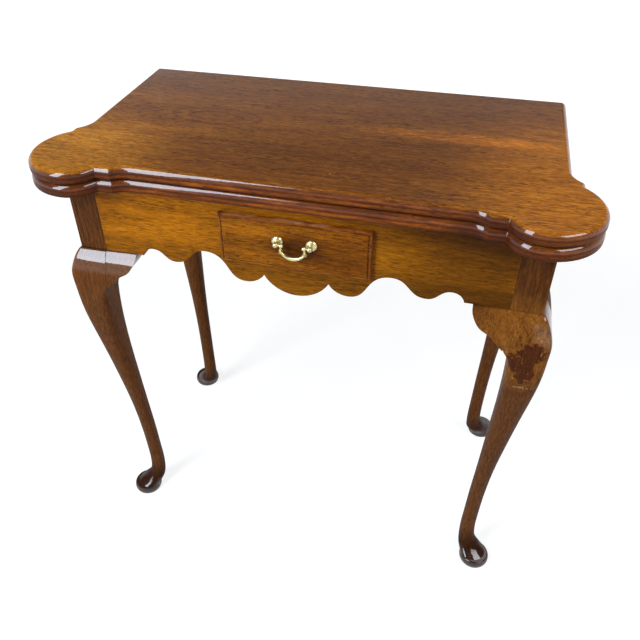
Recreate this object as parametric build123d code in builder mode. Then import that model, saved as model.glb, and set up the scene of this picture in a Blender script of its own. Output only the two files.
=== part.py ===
from build123d import *
from math import pi, sin, sqrt
import os

os.makedirs("parts", exist_ok=True)

# Folding game table in the cabriole style, all lengths in millimetres.
# The origin is on the floor under the middle of the closed table, +Z up, the drawer faces -Y.

# Whole table
table_height = 737.0
frame_width = 665.2
frame_depth = 330.3
apron_height = 114.7
post_width = 41.8
rear_leg_inset = 6.4

# Leaves of the top
leaf_thickness = 18.9
leaf_side_overhang = 8.1
leaf_front_overhang = 18.1
leaf_back_overhang = 4.6
leaf_top_round = 9.0
leaf_under_round = 3.0
lower_seam_round = 9.0
upper_seam_round = 5.0
leaf_back_gap = 0.25

# Round corner lobes and coved steps of the leaves, measured in from the sides
lobe_radius = 71.5
lobe_inner_radius = 47.5
lobe_centre_in = 32.7
lobe_centre_back = 18.3
front_step = 9.2
front_step_in = 96.2
side_step = 14.8
side_step_back = 83.0
cove_radius = 34.0
notch_round = 1.2

# Rails
rail_thickness = 20.0
back_rail_thickness = 18.0
outer_rail_thickness = 22.0
gate_clearance = 0.4
tenon_thickness = 8.0
tenon_setback = 6.0
tenon_length = 16.0
tenon_shoulder = 12.0
tongue_length = 6.0
joint_clearance = 0.1

# Scalloped lower edge of the front rail: places out from the middle as shares of half the rail's
# length, heights as shares of the depth of the middle lobe and of the rise of the large arches
scallop_depth = 31.0
arch_rise = 23.2
cusp_out_share = 0.1606
cusp_drop_share = 0.10
lobe_out_share = 0.2558
lobe_drop_share = 0.613
flank_out_share = 0.3508
flank_rise_share = 0.13
arch_out_share = 0.4584
end_lobe_out_share = 0.6224
end_lobe_drop_share = 0.10
end_arch_out_share = 0.7376
end_arch_rise_share = 0.60
scallop_end_share = 0.796

# Cabriole legs
knee_reach = 19.7
pad_radius = 25.6
pad_base_radius = 23.6
pad_rim_radius = 23.4
pad_centre_in = 8.9
pad_height = 15.5
pad_belly = 6.4
pad_rim_round = 2.2
pad_ledge = 0.8
# Stations down a leg: height as a share of the leg below the apron, outer face as a share of the
# knee's reach, inner face as a share of the post's width, and the round of the outer corner and
# of the others as shares of the section's width
shank_shares = (
    (1.000, 0.05, -1.000, 0.06, 0.02),
    (0.989, 0.37, -1.000, 0.08, 0.02),
    (0.968, 0.68, -1.000, 0.11, 0.02),
    (0.937, 0.95, -1.000, 0.13, 0.02),
    (0.902, 1.00, -0.980, 0.16, 0.03),
    (0.876, 0.99, -0.790, 0.21, 0.11),
    (0.847, 0.98, -0.737, 0.25, 0.18),
    (0.787, 0.87, -0.722, 0.30, 0.24),
    (0.684, 0.52, -0.742, 0.39, 0.35),
    (0.547, 0.03, -0.808, 0.46, 0.46),
    (0.393, -0.47, -0.872, 0.48, 0.48),
    (0.257, -0.72, -0.940, 0.49, 0.49),
    (0.163, -0.80, -0.975, 0.49, 0.49),
)
# Stations of the foot: height as a share of the ankle's, radius as a share of the pad's, and how
# far inside the post's faces the centre lies as a share of the ankle's centre
foot_round_share = 0.495
foot_shares = (
    (0.63, 0.508, 1.010),
    (0.472, 0.527, 0.980),
    (0.346, 0.586, 0.905),
    (0.252, 0.715, 0.745),
    (0.194, 0.820, 0.558),
    (0.157, 0.883, 0.444),
)

# Knee blocks: points of the lower edge as shares of the length away from the leg and of the drop
knee_block_length = 47.5
knee_block_drop = 57.0
knee_block_stations = 6
block_outline_shares = (
    (0.0, 1.0),
    (0.23, 0.80),
    (0.46, 0.61),
    (0.74, 0.47),
    (0.89, 0.31),
    (0.985, 0.14),
    (1.0, 0.0),
)

# Drawer with a lipped front
drawer_front_width = 211.0
drawer_front_drop = 20.7
drawer_front_foot = 18.0
lip_overlap = 6.0
lip_thickness = 7.2
lip_round = 1.9
bead_round = 0.9
quirk_width = 2.0
quirk_depth = 1.2
field_rise = 0.8
field_margin = 5.0
field_round = 0.7
drawer_clearance = 1.2
drawer_inner_front = 13.0
drawer_side = 9.0
drawer_back = 9.0
drawer_back_inset = 8.0
drawer_back_drop = 3.0
drawer_bottom = 5.0
drawer_bottom_rise = 7.0
drawer_rear_gap = 29.0
groove_depth = 4.0
dovetail_count = 3
dovetail_length = 9.0
dovetail_wide_share = 0.62
dovetail_narrow_share = 0.42

# Runners, guides and kickers of the drawer
running_gap = 0.3
runner_bearing = 14.0
runner_height = 11.0
guide_width = 10.0
guide_height = 26.0
kicker_bearing = 12.0

# Brass bail pull
pull_spacing = 47.4
pull_offset = 1.0
pull_drop_from_top = 31.5
rosette_radius = 8.2
rosette_rim = 0.9
rosette_thickness = 4.2
rosette_boss_radius = 4.0
rosette_crown_share = 0.72
post_shank_radius = 2.0
post_collar_radius = 3.4
post_collar_thickness = 1.2
post_neck_radius = 2.5
post_head_radius = 3.9
post_head_out = 9.3
pull_hole_clearance = 0.1
pull_nut_radius = 4.2
pull_nut_thickness = 3.0
pull_nut_sides = 6
pull_thread_past_nut = 2.0
bail_pin_radius = 1.5
bail_pin_clearance = 0.05
bail_pin_depth = 3.4
bail_pin_end_gap = 0.3
bail_eye_radius = 3.2
bail_wire_radius = 1.45
bail_grip_radius = 3.0
bail_drop = 18.6
bail_collar_radius = 3.4
bail_collar_thickness = 1.3
bail_collar_share = 0.17
bail_bead_radius = 2.3
bail_bead_thickness = 1.2
bail_bead_share = 0.12
bail_section_count = 18
bail_grip_power = 4
# Points of half the bail as shares of half the post spacing and of the drop
bail_shares = (
    (0.66, 0.00),
    (0.685, 0.18),
    (0.712, 0.36),
    (0.69, 0.52),
    (0.61, 0.67),
    (0.47, 0.83),
    (0.26, 0.96),
)

# Hinges of the folding leaf
hinge_in = 125.7
hinge_length = 62.0
hinge_plate_depth = 22.0
hinge_plate_thickness = 2.0
hinge_barrel_radius = 3.2
hinge_pin_radius = 1.5
hinge_pin_clearance = 0.04
hinge_knuckle_count = 5
hinge_knuckle_gap = 0.15
hinge_relief = 0.4
hinge_screw_count = 3

# Wooden knuckle joint of the swinging gate
knuckle_count = 5
knuckle_gap = 0.2
gate_pin_radius = 3.0
gate_pin_clearance = 0.06
gate_pin_end_gap = 1.0

# Screws
screw_radius = 1.6
screw_head_radius = 3.2
screw_length = 11.0
screw_sink = 0.1
screw_clearance = 0.05
screw_head_clearance = 0.2
screw_slot_width = 0.8
screw_slot_depth = 0.7
rail_screw_length = 32.0
rail_screw_out_shares = (0.32, 0.88)

# Cleats that hold the top to the side rails
cleat_size = 18.0
cleat_end_gap = 30.0
cleat_screw_count = 3
cleat_screw_bite = 10.0

# How far cuts run past the wood they cut
overrun = 1.0

# Places that follow from the sizes above
leaf_seam_z = table_height - leaf_thickness
frame_top_z = leaf_seam_z - leaf_thickness
knee_top_z = frame_top_z - apron_height
lobe_reach = lobe_radius - lobe_centre_back
apron_y = -(frame_depth + knee_reach - lobe_reach) / 2
frame_back_y = apron_y + frame_depth
post_front_y = frame_back_y - post_width
box_back_y = post_front_y - gate_clearance
back_rail_y = box_back_y - back_rail_thickness
leaf_back_y = frame_back_y + leaf_back_overhang
half_frame = frame_width / 2
leaf_half_width = half_frame + leaf_side_overhang
lobe_centre_x = leaf_half_width - lobe_centre_in
front_step_x = leaf_half_width - front_step_in
hinge_x = leaf_half_width - hinge_in
rear_half = half_frame - rear_leg_inset
rail_end_x = half_frame - post_width
outer_rail_end_x = rear_half - post_width
tenon_foot_z = knee_top_z + tenon_shoulder
tenon_top_z = frame_top_z - tenon_shoulder

knuckle_radius = outer_rail_thickness / 2
knuckle_y = post_front_y + knuckle_radius
knuckle_shoulder_x = knuckle_radius + gate_clearance
gate_top_z = frame_top_z - gate_clearance

ankle_height = shank_shares[-1][0] * knee_top_z
ankle_centre_in = -(shank_shares[-1][1] * knee_reach + shank_shares[-1][2] * post_width) / 2

opening_half = drawer_front_width / 2 - lip_overlap
drawer_top_z = frame_top_z - drawer_front_drop
drawer_foot_z = knee_top_z + drawer_front_foot
box_half = opening_half - drawer_clearance
box_foot_z = drawer_foot_z + lip_overlap + drawer_clearance
box_top_z = drawer_top_z - lip_overlap - drawer_clearance
drawer_inner_y = apron_y + drawer_inner_front
drawer_rear_y = back_rail_y - drawer_rear_gap
lip_y = apron_y - lip_thickness
field_y = lip_y - field_rise
bead_width = field_margin - quirk_width

pull_z = drawer_top_z - pull_drop_from_top
pull_axis_y = field_y - post_head_out
post_tail = drawer_inner_y - field_y + pull_nut_thickness + pull_thread_past_nut

rail_back_y = apron_y + rail_thickness
cleat_y = (rail_back_y + back_rail_y) / 2
cleat_length = back_rail_y - rail_back_y - 2 * cleat_end_gap
cleat_x = half_frame - rail_thickness - cleat_size / 2
up = Vector(0, 0, 1)


def finish(part, label):
    """Names a piece and writes it."""
    part.label = label
    export_step(part, "parts/" + label + ".step")


def block(first, second, grow=0, mode=Mode.ADD):
    """A square-edged block between two opposite corners, made larger all round by a clearance."""
    size = [abs(b - a) + 2 * grow for a, b in zip(first, second)]
    middle = [(a + b) / 2 for a, b in zip(first, second)]
    with Locations(tuple(middle)):
        Box(size[0], size[1], size[2], mode=mode)


def rod(start, direction, radius, length, mode=Mode.ADD):
    """A round bar or bore from a point along a direction."""
    with BuildSketch(Plane(origin=start, z_dir=direction)) as circle:
        Circle(radius)
    extrude(circle.sketch, amount=length, mode=mode)


def screw(place, direction, length):
    """A slotted countersunk wood screw, its head just under a face."""
    base = Plane(origin=Vector(*place) + Vector(*direction) * screw_sink, z_dir=direction)
    head = screw_head_radius - screw_radius
    profile = Plane(origin=base.origin, x_dir=base.x_dir, z_dir=base.x_dir.cross(base.z_dir))
    with BuildSketch(profile) as half:
        with BuildLine():
            Polyline(
                (0, 0),
                (screw_head_radius, 0),
                (screw_radius, head),
                (screw_radius, length - screw_radius),
                (0, length),
                close=True,
            )
        make_face()
    revolve(half.sketch, axis=Axis(base.origin, base.z_dir))
    with Locations(base):
        Box(2 * screw_head_radius, screw_slot_width, 2 * screw_slot_depth, mode=Mode.SUBTRACT)


def screw_bore(place, direction, length):
    """The straight bore of a wood screw."""
    rod(place, direction, screw_radius + screw_clearance, length + overrun, mode=Mode.SUBTRACT)


def screw_seat(place, direction, length):
    """The countersunk hole for a screw through a piece of a given thickness."""
    with Locations(Plane(origin=place, z_dir=-Vector(*direction))):
        CounterSinkHole(
            screw_radius + screw_clearance,
            screw_head_radius + screw_head_clearance,
            depth=length,
        )


def spread(count, length):
    """Evenly spread places along a length, about its middle."""
    return [(k - (count - 1) / 2) * length / count for k in range(count)]


# Leaves: straight back, coved steps and round lobes at the front corners


def leaf_plan(height):
    """The plan of a leaf at a height."""
    back = leaf_back_y - leaf_back_gap
    front = apron_y - leaf_front_overhang
    step_y = front - front_step
    cove_run = sqrt(2 * cove_radius * front_step - front_step**2)
    side_x = leaf_half_width + side_step
    side_run = sqrt(2 * cove_radius * side_step - side_step**2)
    side_y = apron_y + side_step_back
    centre_y = apron_y + lobe_centre_back
    side_notch_y = centre_y + sqrt(lobe_radius**2 - (side_x - lobe_centre_x) ** 2)
    lobe_front_y = centre_y - lobe_radius
    inner_y = lobe_front_y + lobe_inner_radius
    notch_x = lobe_centre_x - sqrt(lobe_inner_radius**2 - (step_y - inner_y) ** 2)
    with BuildSketch(Plane.XY.offset(height)) as plan:
        with BuildLine():
            Line((0, back), (leaf_half_width, back))
            Line((leaf_half_width, back), (leaf_half_width, side_y + side_run))
            RadiusArc((leaf_half_width, side_y + side_run), (side_x, side_y), -cove_radius)
            Line((side_x, side_y), (side_x, side_notch_y))
            ThreePointArc(
                (side_x, side_notch_y),
                (lobe_centre_x + lobe_radius, centre_y),
                (lobe_centre_x, lobe_front_y),
            )
            TangentArc((lobe_centre_x, lobe_front_y), (notch_x, step_y), tangent=(-1, 0))
            Line((notch_x, step_y), (front_step_x, step_y))
            RadiusArc((front_step_x, step_y), (front_step_x - cove_run, front), -cove_radius)
            Line((front_step_x - cove_run, front), (0, front))
            mirror(about=Plane.YZ)
        make_face()
        places = ((notch_x, step_y), (side_x, side_notch_y))
        notches = [Vertex(side * x, y, height) for side in (-1, 1) for x, y in places]
        fillet([plan.vertices().sort_by_distance(notch)[0] for notch in notches], notch_round)
    return plan


def moulded_edges(part, face):
    """The edges of a leaf's lowest or highest face, without the square back edge."""
    edges = part.faces().sort_by(Axis.Z)[face].edges()
    return edges.filter_by(lambda e: e.center().Y < leaf_back_y - overrun)


def hinge_screw_places(side):
    """Where the screws of one hinge plate stand."""
    depth = leaf_back_y - (hinge_plate_depth + hinge_barrel_radius + hinge_relief) / 2
    return [(side * hinge_x + x, depth) for x in spread(hinge_screw_count, hinge_length)]


def hinge_recesses(inward):
    """Lets the hinge plates and barrels into a leaf's meeting face, and bores for the screws."""
    for side in (-1, 1):
        start_x = side * hinge_x - hinge_length / 2
        block(
            (start_x, leaf_back_y - hinge_plate_depth, leaf_seam_z),
            (start_x + hinge_length, leaf_back_y + overrun, leaf_seam_z + inward * hinge_plate_thickness),
            mode=Mode.SUBTRACT,
        )
        rod(
            (start_x, leaf_back_y, leaf_seam_z),
            (1, 0, 0),
            hinge_barrel_radius + hinge_relief,
            hinge_length,
            mode=Mode.SUBTRACT,
        )
        for x, y in hinge_screw_places(side):
            screw_bore((x, y, leaf_seam_z), (0, 0, inward), screw_length)


def cleat_screw_places(side):
    """Where the screws through one cleat stand."""
    return [(side * cleat_x, cleat_y + y) for y in spread(cleat_screw_count, cleat_length)]


with BuildPart() as lower_leaf:
    extrude(leaf_plan(frame_top_z).sketch, amount=leaf_thickness)
    fillet(moulded_edges(lower_leaf, 0), leaf_under_round)
    fillet(moulded_edges(lower_leaf, -1), lower_seam_round)
    hinge_recesses(-1)
    for side in (-1, 1):
        for x, y in cleat_screw_places(side):
            screw_bore((x, y, frame_top_z), (0, 0, 1), cleat_screw_bite)
finish(lower_leaf.part, "lower_leaf")

with BuildPart() as upper_leaf:
    extrude(leaf_plan(leaf_seam_z).sketch, amount=leaf_thickness)
    fillet(moulded_edges(upper_leaf, 0), upper_seam_round)
    fillet(moulded_edges(upper_leaf, -1), leaf_top_round)
    hinge_recesses(1)
finish(upper_leaf.part, "upper_leaf")

# Brass hinges: plates let into the meeting faces, knuckles on the line of the back edges


def hinge_plate(side, inward, label):
    """One leaf of a butt hinge with its share of the knuckles."""
    start_x = side * hinge_x - hinge_length / 2
    pitch = hinge_length / hinge_knuckle_count
    plate_back_y = leaf_back_y - hinge_barrel_radius - hinge_relief
    face_z = leaf_seam_z + inward * hinge_plate_thickness
    first = 0 if inward < 0 else 1
    with BuildPart() as plate:
        block(
            (start_x, leaf_back_y - hinge_plate_depth, leaf_seam_z),
            (start_x + hinge_length, plate_back_y, face_z),
        )
        for k in range(first, hinge_knuckle_count, 2):
            knuckle_x = start_x + k * pitch + hinge_knuckle_gap / 2
            knuckle_length = pitch - hinge_knuckle_gap
            block(
                (knuckle_x, plate_back_y - overrun, leaf_seam_z),
                (knuckle_x + knuckle_length, leaf_back_y, face_z),
            )
            rod((knuckle_x, leaf_back_y, leaf_seam_z), (1, 0, 0), hinge_barrel_radius, knuckle_length)
        rod(
            (start_x - overrun, leaf_back_y, leaf_seam_z),
            (1, 0, 0),
            hinge_pin_radius + hinge_pin_clearance,
            hinge_length + 2 * overrun,
            mode=Mode.SUBTRACT,
        )
        for x, y in hinge_screw_places(side):
            screw_seat((x, y, leaf_seam_z), (0, 0, inward), hinge_plate_thickness)
    finish(plate.part, label)


for side, name in ((-1, "left"), (1, "right")):
    hinge_plate(side, -1, name + "_hinge_lower_plate")
    hinge_plate(side, 1, name + "_hinge_upper_plate")

with BuildPart() as hinge_pins:
    for side in (-1, 1):
        start_x = side * hinge_x - hinge_length / 2
        rod((start_x, leaf_back_y, leaf_seam_z), (1, 0, 0), hinge_pin_radius, hinge_length)
finish(hinge_pins.part, "hinge_pins")

for inward, name in ((-1, "lower_hinge_screws"), (1, "upper_hinge_screws")):
    with BuildPart() as hinge_screws:
        for side in (-1, 1):
            for x, y in hinge_screw_places(side):
                screw((x, y, leaf_seam_z), (0, 0, inward), screw_length)
    finish(hinge_screws.part, name)

# Rails of the frame and their tenons


def front_tenon(side):
    """Two corners of the front rail's tenon at one end."""
    tenon_y = apron_y + tenon_setback
    return (
        (side * (rail_end_x - overrun), tenon_y, tenon_foot_z),
        (side * (rail_end_x + tenon_length), tenon_y + tenon_thickness, tenon_top_z),
    )


def side_tenon(side):
    """Two corners of a side rail's tenon into the front leg."""
    tenon_x = half_frame - tenon_setback
    return (
        (side * tenon_x, apron_y + post_width - tenon_length, tenon_foot_z),
        (side * (tenon_x - tenon_thickness), apron_y + post_width + overrun, tenon_top_z),
    )


def outer_tenon(side):
    """Two corners of an outer back rail's tenon into a rear leg."""
    return (
        (side * (outer_rail_end_x - overrun), knuckle_y - tenon_thickness / 2, tenon_foot_z),
        (side * (outer_rail_end_x + tenon_length), knuckle_y + tenon_thickness / 2, tenon_top_z),
    )


def back_tongue(side):
    """Two corners of the back rail's tongue in a side rail."""
    tongue_y = back_rail_y + (back_rail_thickness - tenon_thickness) / 2
    tongue_x = half_frame - rail_thickness
    return (
        (side * (tongue_x - overrun), tongue_y, knee_top_z),
        (side * (tongue_x + tongue_length), tongue_y + tenon_thickness, frame_top_z),
    )


rail_screw_z = (knee_top_z + frame_top_z) / 2
rail_screw_places = [(-share * outer_rail_end_x, rail_screw_z) for share in rail_screw_out_shares]

with BuildPart() as front_rail:
    cusp = (cusp_out_share * rail_end_x, knee_top_z - cusp_drop_share * scallop_depth)
    lobe = (lobe_out_share * rail_end_x, knee_top_z - lobe_drop_share * scallop_depth)
    flank = (flank_out_share * rail_end_x, knee_top_z + flank_rise_share * arch_rise)
    arch = (arch_out_share * rail_end_x, knee_top_z + arch_rise)
    end_lobe = (end_lobe_out_share * rail_end_x, knee_top_z - end_lobe_drop_share * scallop_depth)
    end_arch = (end_arch_out_share * rail_end_x, knee_top_z + end_arch_rise_share * arch_rise)
    end = (scallop_end_share * rail_end_x, knee_top_z)
    level = ((1, 0), (1, 0))
    with BuildSketch(Plane.XZ.offset(-apron_y)) as elevation:
        with BuildLine():
            Line((rail_end_x, knee_top_z), end)
            TangentArc(end_arch, end, tangent=(1, 0))
            Spline(end_lobe, end_arch, tangents=level)
            Spline(arch, end_lobe, tangents=level)
            Spline(lobe, flank, arch, tangents=level)
            TangentArc(lobe, cusp, tangent=(-1, 0))
            TangentArc((0, knee_top_z - scallop_depth), cusp, tangent=(1, 0))
            Line((0, frame_top_z), (rail_end_x, frame_top_z))
            Line((rail_end_x, frame_top_z), (rail_end_x, knee_top_z))
            mirror(about=Plane.YZ)
        make_face()
    extrude(elevation.sketch, amount=-rail_thickness)
    for side in (-1, 1):
        block(*front_tenon(side))
    block(
        (-opening_half, apron_y - overrun, drawer_foot_z + lip_overlap),
        (opening_half, apron_y + rail_thickness + overrun, drawer_top_z - lip_overlap),
        mode=Mode.SUBTRACT,
    )
finish(front_rail.part, "front_rail")

for side, name in ((-1, "left_side_rail"), (1, "right_side_rail")):
    with BuildPart() as side_rail:
        block(
            (side * (half_frame - rail_thickness), apron_y + post_width, knee_top_z),
            (side * half_frame, box_back_y, frame_top_z),
        )
        block(*side_tenon(side))
        block(*back_tongue(side), grow=joint_clearance, mode=Mode.SUBTRACT)
    finish(side_rail.part, name)

with BuildPart() as inner_back_rail:
    block(
        (rail_thickness - half_frame, back_rail_y, knee_top_z),
        (half_frame - rail_thickness, box_back_y, frame_top_z),
    )
    for side in (-1, 1):
        block(*back_tongue(side))
    for x, z in rail_screw_places:
        screw_seat((x, back_rail_y, z), (0, 1, 0), back_rail_thickness + overrun)
finish(inner_back_rail.part, "inner_back_rail")

# Outer back rail: a fixed half and a swinging half with a wooden knuckle joint between them


def knuckles(side, first):
    """The rounded fingers of one half of the knuckle joint, and the bore for its pin."""
    pitch = apron_height / knuckle_count
    for k in range(first, knuckle_count, 2):
        foot_z = knee_top_z + k * pitch + (knuckle_gap / 2 if k > 0 else 0)
        top_z = knee_top_z + (k + 1) * pitch - (knuckle_gap / 2 if k < knuckle_count - 1 else 0)
        block(
            (side * (knuckle_shoulder_x + overrun), knuckle_y - knuckle_radius, foot_z),
            (0, knuckle_y + knuckle_radius, top_z),
        )
        rod((0, knuckle_y, foot_z), (0, 0, 1), knuckle_radius, top_z - foot_z)
    rod(
        (0, knuckle_y, knee_top_z - overrun),
        (0, 0, 1),
        gate_pin_radius + gate_pin_clearance,
        apron_height + 2 * overrun,
        mode=Mode.SUBTRACT,
    )


with BuildPart() as fixed_outer_rail:
    block(
        (-outer_rail_end_x, box_back_y, knee_top_z),
        (-knuckle_shoulder_x, post_front_y + outer_rail_thickness, frame_top_z),
    )
    block(*outer_tenon(-1))
    knuckles(-1, 0)
    for x, z in rail_screw_places:
        screw_bore((x, box_back_y, z), (0, 1, 0), rail_screw_length - back_rail_thickness)
finish(fixed_outer_rail.part, "fixed_outer_rail")

with BuildPart() as fly_rail:
    block(
        (knuckle_shoulder_x, post_front_y, knee_top_z),
        (outer_rail_end_x, post_front_y + outer_rail_thickness, gate_top_z),
    )
    block(*outer_tenon(1))
    knuckles(1, 1)
finish(fly_rail.part, "fly_rail")

with BuildPart() as gate_pin:
    rod(
        (0, knuckle_y, knee_top_z + gate_pin_end_gap),
        (0, 0, 1),
        gate_pin_radius,
        apron_height - 2 * gate_pin_end_gap,
    )
finish(gate_pin.part, "gate_pin")

with BuildPart() as outer_rail_screws:
    for x, z in rail_screw_places:
        screw((x, back_rail_y, z), (0, 1, 0), rail_screw_length)
finish(outer_rail_screws.part, "outer_rail_screws")

# Cabriole legs: square post, swelling knee, tapering shank, round ankle and pad foot


def leg_section(corner, outward, height, outer, inner, outer_round, inner_round):
    """One rounded square section of a leg, its faces measured from the post's outer faces."""
    middle = [c + s * (outer + inner) / 2 for c, s in zip(corner, outward)]
    tip = Vertex(*[c + s * outer for c, s in zip(corner, outward)], height)
    with BuildSketch(Plane.XY.offset(height)) as section:
        with Locations(tuple(middle)):
            Rectangle(outer - inner, outer - inner)
        fillet(section.vertices().sort_by_distance(tip)[0], outer_round)
        fillet(section.vertices().sort_by_distance(tip)[2:], inner_round)
    return section.sketch


def shank_section(corner, outward, shares):
    """The section of a leg at one station of its shank."""
    height, outer, inner, outer_round, inner_round = shares
    width = outer * knee_reach - inner * post_width
    return leg_section(
        corner,
        outward,
        height * knee_top_z,
        outer * knee_reach,
        inner * post_width,
        outer_round * width,
        inner_round * width,
    )


def foot_section(corner, outward, height, radius, centre_in):
    """The nearly round section of a leg at one height of its foot."""
    outer = radius - centre_in
    inner = -radius - centre_in
    corner_round = 2 * foot_round_share * radius
    return leg_section(corner, outward, height, outer, inner, corner_round, corner_round)


def leg(corner, outward, top_z, tenons, label):
    """A leg whose post has its outer corner at a place, with mortises for its rails' tenons."""
    inner = [c - s * post_width for c, s in zip(corner, outward)]
    reach = [c + s * (knee_reach + overrun) for c, s in zip(corner, outward)]
    pad = [c - s * pad_centre_in for c, s in zip(corner, outward)]
    with BuildPart() as piece:
        shank = [shank_section(corner, outward, shares) for shares in shank_shares]
        foot = [
            foot_section(corner, outward, h * ankle_height, r * pad_radius, c * ankle_centre_in)
            for h, r, c in foot_shares
        ]
        sole = foot_section(corner, outward, pad_belly, pad_radius - pad_ledge, pad_centre_in + pad_ledge)
        loft([*shank, *foot, sole])
        block((*inner, 0), (*reach, knee_top_z + overrun), mode=Mode.INTERSECT)
        block((*inner, knee_top_z), (*corner, top_z))
        with BuildSketch(Plane(origin=(*pad, 0), x_dir=(1, 0, 0), z_dir=(0, -1, 0))) as half:
            with BuildLine():
                Line((0, 0), (pad_base_radius, 0))
                ThreePointArc((pad_base_radius, 0), (pad_radius, pad_belly), (pad_rim_radius, pad_height))
                Line((pad_rim_radius, pad_height), (0, pad_height))
                Line((0, pad_height), (0, 0))
            make_face()
            fillet(half.vertices().sort_by(Axis.Z)[-2:].sort_by(Axis.X)[-1], pad_rim_round)
        revolve(half.sketch, axis=Axis((*pad, 0), up))
        for tenon in tenons:
            block(*tenon, grow=joint_clearance, mode=Mode.SUBTRACT)
    finish(piece.part, label)


for side, name in ((-1, "front_left_leg"), (1, "front_right_leg")):
    tenons = (front_tenon(side), side_tenon(side))
    leg((side * half_frame, apron_y), (side, -1), frame_top_z, tenons, name)
leg((-rear_half, frame_back_y), (-1, 1), frame_top_z, (outer_tenon(-1),), "rear_left_leg")
leg((rear_half, frame_back_y), (1, 1), gate_top_z, (outer_tenon(1),), "gate_leg")

# Knee blocks that carry the knees' swell out under the rails


def knee_block(joint, along, outward, depth, label):
    """A block from a leg's inner face along a rail, its face swelling like the knee's."""
    away = Vector(*along, 0)
    out = Vector(*outward, 0)
    origin = (*joint, knee_top_z)
    swell = [(o * knee_reach, (h - 1) * knee_top_z) for h, o, *rest in shank_shares[:knee_block_stations]]
    edge = [(a * knee_block_length, -d * knee_block_drop) for a, d in block_outline_shares]
    with BuildPart() as piece:
        with BuildSketch(Plane(origin=origin, x_dir=out, z_dir=out.cross(up))) as profile:
            with BuildLine():
                Line((-depth, 0), swell[0])
                Spline(*swell)
                Line(swell[-1], (-depth, swell[-1][1]))
                Line((-depth, swell[-1][1]), (-depth, 0))
            make_face()
        extrude(profile.sketch, amount=knee_block_length, dir=away)
        with BuildSketch(Plane(origin=origin, x_dir=away, z_dir=away.cross(up))) as outline:
            with BuildLine():
                Line((0, 0), edge[0])
                Spline(*edge)
                Line(edge[-1], (0, 0))
            make_face()
        extrude(outline.sketch, amount=knee_reach + depth, both=True, mode=Mode.INTERSECT)
    finish(piece.part, label)


for side, name in ((-1, "left"), (1, "right")):
    front_joint = (side * rail_end_x, apron_y)
    side_joint = (side * half_frame, apron_y + post_width)
    knee_block(front_joint, (-side, 0), (0, -1), rail_thickness, "front_" + name + "_knee_block")
    knee_block(side_joint, (0, 1), (side, 0), rail_thickness, name + "_side_knee_block")
knee_block((-outer_rail_end_x, frame_back_y), (1, 0), (0, 1), post_width, "rear_left_knee_block")
knee_block((outer_rail_end_x, frame_back_y), (-1, 0), (0, 1), post_width, "gate_knee_block")

# Cleats and screws that hold the top

for side, name in ((-1, "left_cleat"), (1, "right_cleat")):
    with BuildPart() as cleat:
        block(
            (side * (cleat_x - cleat_size / 2), cleat_y - cleat_length / 2, frame_top_z - cleat_size),
            (side * (cleat_x + cleat_size / 2), cleat_y + cleat_length / 2, frame_top_z),
        )
        for x, y in cleat_screw_places(side):
            screw_seat((x, y, frame_top_z - cleat_size), (0, 0, 1), cleat_size + overrun)
    finish(cleat.part, name)

with BuildPart() as top_screws:
    for side in (-1, 1):
        for x, y in cleat_screw_places(side):
            screw((x, y, frame_top_z - cleat_size), (0, 0, 1), cleat_size + cleat_screw_bite)
finish(top_screws.part, "top_screws")

# Runners and kickers that the drawer slides between

runner_top_z = box_foot_z - running_gap
guide_x = box_half + drawer_clearance

for side, name in ((-1, "left"), (1, "right")):
    with BuildPart() as runner:
        block(
            (side * (box_half - runner_bearing), rail_back_y, runner_top_z - runner_height),
            (side * (guide_x + guide_width), back_rail_y, runner_top_z),
        )
        block(
            (side * guide_x, rail_back_y, runner_top_z - overrun),
            (side * (guide_x + guide_width), back_rail_y, runner_top_z + guide_height),
        )
    finish(runner.part, name + "_drawer_runner")
    with BuildPart() as kicker:
        block(
            (side * (box_half - kicker_bearing), rail_back_y, box_top_z + running_gap),
            (side * (guide_x + guide_width), back_rail_y, frame_top_z),
        )
    finish(kicker.part, name + "_drawer_kicker")

# Drawer: lipped front, dovetailed sides, housed back and a bottom in grooves

bottom_x = box_half - drawer_side + groove_depth - joint_clearance
bottom_top_z = box_foot_z + drawer_bottom_rise + drawer_bottom
bottom_box = (
    (-bottom_x, drawer_inner_y - groove_depth + joint_clearance, box_foot_z + drawer_bottom_rise),
    (bottom_x, drawer_rear_y - drawer_back_inset, bottom_top_z),
)
back_box = (
    (-bottom_x, drawer_rear_y - drawer_back_inset - drawer_back, bottom_top_z),
    (bottom_x, drawer_rear_y - drawer_back_inset, box_top_z - drawer_back_drop),
)


def dovetails(side, grow, mode):
    """The tails on the end of a drawer side, or the sockets for them."""
    pitch = (box_top_z - box_foot_z) / dovetail_count
    wide = pitch * dovetail_wide_share / 2 + grow
    narrow = pitch * dovetail_narrow_share / 2 + grow
    tip_y = drawer_inner_y - dovetail_length - grow
    with BuildSketch(Plane.YZ.offset(side * (box_half - drawer_side))) as tails:
        for z in spread(dovetail_count, box_top_z - box_foot_z):
            middle_z = (box_top_z + box_foot_z) / 2 + z
            with BuildLine():
                Polyline(
                    (drawer_inner_y + grow, middle_z - narrow),
                    (tip_y, middle_z - wide),
                    (tip_y, middle_z + wide),
                    (drawer_inner_y + grow, middle_z + narrow),
                    close=True,
                )
            make_face()
    extrude(tails.sketch, amount=side * drawer_side, mode=mode)


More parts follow.
